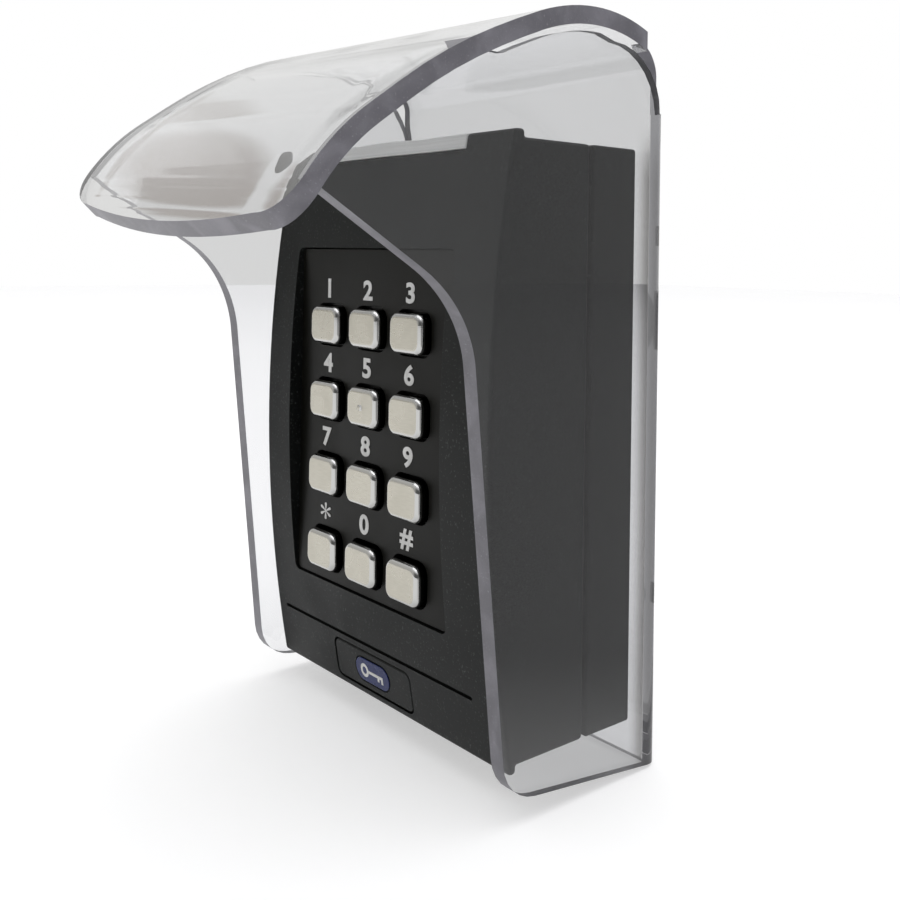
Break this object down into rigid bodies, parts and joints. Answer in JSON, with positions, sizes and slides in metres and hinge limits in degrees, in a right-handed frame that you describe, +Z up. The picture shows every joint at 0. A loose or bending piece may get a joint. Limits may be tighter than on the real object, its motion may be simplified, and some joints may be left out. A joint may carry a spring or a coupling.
{
  "type": "rfid card reader",
  "caption": "Wall-mounted card reader with a sprung metal keypad in a bowed black housing, standing inside a clear folded weather hood.",
  "frame": {"origin": "on the wall plane, at the middle of the hood's back plate, level with the middle of the reader", "axes": "+Z up, -Y out of the wall towards the user, +X to the user's right"},
  "size_m": [0.0968, 0.0893, 0.1554],
  "materials": {
    "clear_sheet": "clear polished polycarbonate sheet with sawn edges",
    "body_plastic": "black moulded plastic with a fine spark texture",
    "panel_plastic": "smooth black panel",
    "key_metal": "satin face with a polished rim",
    "steel": "zinc plated",
    "rubber": "matt",
    "light_guide": "milky translucent",
    "emblem": "enamel",
    "circuit_board": "solder mask",
    "copper": "enamelled copper winding",
    "component": "moulded",
    "connector": "moulded",
    "lamp": "moulded lens"
  },
  "bodies": {
    "reader": {"weather_hood": "clear_sheet", "mounting_frame": "body_plastic", "front_cover": "body_plastic", "badge_plate": "body_plastic", "body_gasket": "rubber", "cable_grommet": "rubber", "keypad_mat": "rubber", "light_bar": "light_guide", "badge_emblem": "emblem", "keypad_plate": "panel_plastic", "main_board": "circuit_board", "antenna_coil": "copper", "indicator_led_left": "lamp", "indicator_led_centre": "lamp", "indicator_led_right": "lamp", "sounder": "component", "controller_chip": "component", "terminal_block": "connector", "wall_screw_bottom": "steel", "wall_screw_top": "steel", "security_screw": "steel", "board_screw_bottom_left": "steel", "board_screw_bottom_right": "steel", "board_screw_top_left": "steel", "board_screw_top_right": "steel"},
    "key_cap_1": {"key_1": "key_metal"},
    "key_cap_2": {"key_2": "key_metal"},
    "key_cap_3": {"key_3": "key_metal"},
    "key_cap_4": {"key_4": "key_metal"},
    "key_cap_5": {"key_5": "key_metal"},
    "key_cap_6": {"key_6": "key_metal"},
    "key_cap_7": {"key_7": "key_metal"},
    "key_cap_8": {"key_8": "key_metal"},
    "key_cap_9": {"key_9": "key_metal"},
    "key_cap_star": {"key_star": "key_metal"},
    "key_cap_0": {"key_0": "key_metal"},
    "key_cap_hash": {"key_hash": "key_metal"}
  },
  "joints": [
    {"name": "key_press_1", "type": "slide", "parent": "reader", "child": "key_cap_1", "axis": [0, 1, 0], "range_m": [0, 0.0008], "stiffness_N_per_m": 1500, "springref_m": -0.0004},
    {"name": "key_press_2", "type": "slide", "parent": "reader", "child": "key_cap_2", "axis": [0, 1, 0], "range_m": [0, 0.0008], "stiffness_N_per_m": 1500, "springref_m": -0.0004},
    {"name": "key_press_3", "type": "slide", "parent": "reader", "child": "key_cap_3", "axis": [0, 1, 0], "range_m": [0, 0.0008], "stiffness_N_per_m": 1500, "springref_m": -0.0004},
    {"name": "key_press_4", "type": "slide", "parent": "reader", "child": "key_cap_4", "axis": [0, 1, 0], "range_m": [0, 0.0008], "stiffness_N_per_m": 1500, "springref_m": -0.0004},
    {"name": "key_press_5", "type": "slide", "parent": "reader", "child": "key_cap_5", "axis": [0, 1, 0], "range_m": [0, 0.0008], "stiffness_N_per_m": 1500, "springref_m": -0.0004},
    {"name": "key_press_6", "type": "slide", "parent": "reader", "child": "key_cap_6", "axis": [0, 1, 0], "range_m": [0, 0.0008], "stiffness_N_per_m": 1500, "springref_m": -0.0004},
    {"name": "key_press_7", "type": "slide", "parent": "reader", "child": "key_cap_7", "axis": [0, 1, 0], "range_m": [0, 0.0008], "stiffness_N_per_m": 1500, "springref_m": -0.0004},
    {"name": "key_press_8", "type": "slide", "parent": "reader", "child": "key_cap_8", "axis": [0, 1, 0], "range_m": [0, 0.0008], "stiffness_N_per_m": 1500, "springref_m": -0.0004},
    {"name": "key_press_9", "type": "slide", "parent": "reader", "child": "key_cap_9", "axis": [0, 1, 0], "range_m": [0, 0.0008], "stiffness_N_per_m": 1500, "springref_m": -0.0004},
    {"name": "key_press_star", "type": "slide", "parent": "reader", "child": "key_cap_star", "axis": [0, 1, 0], "range_m": [0, 0.0008], "stiffness_N_per_m": 1500, "springref_m": -0.0004},
    {"name": "key_press_0", "type": "slide", "parent": "reader", "child": "key_cap_0", "axis": [0, 1, 0], "range_m": [0, 0.0008], "stiffness_N_per_m": 1500, "springref_m": -0.0004},
    {"name": "key_press_hash", "type": "slide", "parent": "reader", "child": "key_cap_hash", "axis": [0, 1, 0], "range_m": [0, 0.0008], "stiffness_N_per_m": 1500, "springref_m": -0.0004}
  ]
}
